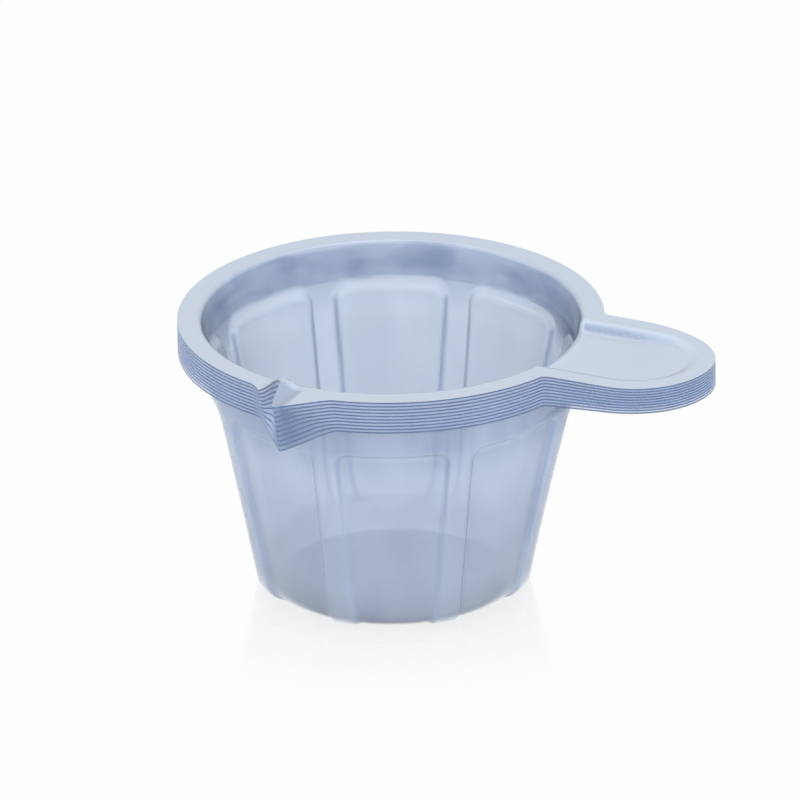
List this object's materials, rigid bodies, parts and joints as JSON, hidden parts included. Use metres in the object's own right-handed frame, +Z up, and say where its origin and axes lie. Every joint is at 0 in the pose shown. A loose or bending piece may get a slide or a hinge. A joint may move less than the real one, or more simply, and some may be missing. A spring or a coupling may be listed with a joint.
{
  "type": "resin mixing cup",
  "caption": "Nested stack of clear disposable resin mixing cups with ribbed tapered bodies, flat flanges, a thumb handle and a pouring lip. Each cup lifts out of the one below.",
  "frame": {"origin": "middle of the bottom cup's base, on the surface that the stack stands on", "axes": "+Z up along the axis that all the cups share, +X along the handles; the pouring lips point nearly along -Y"},
  "size_m": [0.082, 0.068, 0.0418],
  "materials": {
    "clear_sheet": "clear thin glossy plastic sheet, faintly blue"
  },
  "bodies": {
    "cup_01": {"cup_01": "clear_sheet"},
    "cup_02": {"cup_02": "clear_sheet"},
    "cup_03": {"cup_03": "clear_sheet"},
    "cup_04": {"cup_04": "clear_sheet"},
    "cup_05": {"cup_05": "clear_sheet"},
    "cup_06": {"cup_06": "clear_sheet"},
    "cup_07": {"cup_07": "clear_sheet"},
    "cup_08": {"cup_08": "clear_sheet"},
    "cup_09": {"cup_09": "clear_sheet"},
    "cup_10": {"cup_10": "clear_sheet"}
  },
  "joints": [
    {"name": "cup_02_lift", "type": "slide", "parent": "cup_01", "child": "cup_02", "axis": [0, 0, 1], "range_m": [0, 0.04]},
    {"name": "cup_03_lift", "type": "slide", "parent": "cup_02", "child": "cup_03", "axis": [0, 0, 1], "range_m": [0, 0.04]},
    {"name": "cup_04_lift", "type": "slide", "parent": "cup_03", "child": "cup_04", "axis": [0, 0, 1], "range_m": [0, 0.04]},
    {"name": "cup_05_lift", "type": "slide", "parent": "cup_04", "child": "cup_05", "axis": [0, 0, 1], "range_m": [0, 0.04]},
    {"name": "cup_06_lift", "type": "slide", "parent": "cup_05", "child": "cup_06", "axis": [0, 0, 1], "range_m": [0, 0.04]},
    {"name": "cup_07_lift", "type": "slide", "parent": "cup_06", "child": "cup_07", "axis": [0, 0, 1], "range_m": [0, 0.04]},
    {"name": "cup_08_lift", "type": "slide", "parent": "cup_07", "child": "cup_08", "axis": [0, 0, 1], "range_m": [0, 0.04]},
    {"name": "cup_09_lift", "type": "slide", "parent": "cup_08", "child": "cup_09", "axis": [0, 0, 1], "range_m": [0, 0.04]},
    {"name": "cup_10_lift", "type": "slide", "parent": "cup_09", "child": "cup_10", "axis": [0, 0, 1], "range_m": [0, 0.04]}
  ]
}
